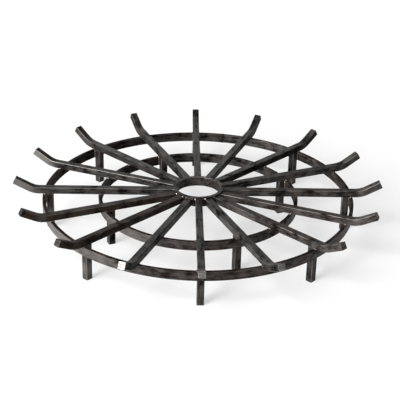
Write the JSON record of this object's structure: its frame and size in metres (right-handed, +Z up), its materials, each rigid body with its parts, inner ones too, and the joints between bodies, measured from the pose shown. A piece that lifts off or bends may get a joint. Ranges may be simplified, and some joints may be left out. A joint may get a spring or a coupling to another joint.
{
  "type": "log grate",
  "caption": "Round welded steel log grate: upturned radial bars on a ring hub and concentric hoops, standing on short square legs.",
  "frame": {"origin": "on the floor, under the centre of the hub ring: the plane of all the feet", "axes": "+Z up, along the axis of the hub ring and both hoops; -Y to the front, where one spoke points; +X to the right"},
  "size_m": [1.016, 1.016, 0.1482],
  "materials": {
    "bar_steel": "hot-rolled square bar under dark mill scale, with rubbed edges",
    "strap_steel": "hot-rolled flat bar rolled on the flat, dark brownish mill scale",
    "weld_metal": "rippled weld bead, brushed, greyer and brighter than the scale"
  },
  "bodies": {
    "root": {"hub_ring": "strap_steel", "inner_hoop": "strap_steel", "outer_hoop": "strap_steel", "spoke_01": "bar_steel", "spoke_02": "bar_steel", "spoke_03": "bar_steel", "spoke_04": "bar_steel", "spoke_05": "bar_steel", "spoke_06": "bar_steel", "spoke_07": "bar_steel", "spoke_08": "bar_steel", "spoke_09": "bar_steel", "spoke_10": "bar_steel", "spoke_11": "bar_steel", "spoke_12": "bar_steel", "spoke_13": "bar_steel", "spoke_14": "bar_steel", "spoke_15": "bar_steel", "spoke_16": "bar_steel", "outer_leg_1": "bar_steel", "outer_leg_2": "bar_steel", "outer_leg_3": "bar_steel", "outer_leg_4": "bar_steel", "outer_leg_5": "bar_steel", "outer_leg_6": "bar_steel", "outer_leg_7": "bar_steel", "outer_leg_8": "bar_steel", "inner_leg_1": "bar_steel", "inner_leg_2": "bar_steel", "inner_leg_3": "bar_steel", "inner_leg_4": "bar_steel", "hub_welds": "weld_metal", "inner_crossing_welds": "weld_metal", "outer_crossing_welds": "weld_metal", "inner_leg_welds": "weld_metal", "outer_leg_welds": "weld_metal", "inner_hoop_seam": "weld_metal", "outer_hoop_seam": "weld_metal"}
  },
  "joints": []
}
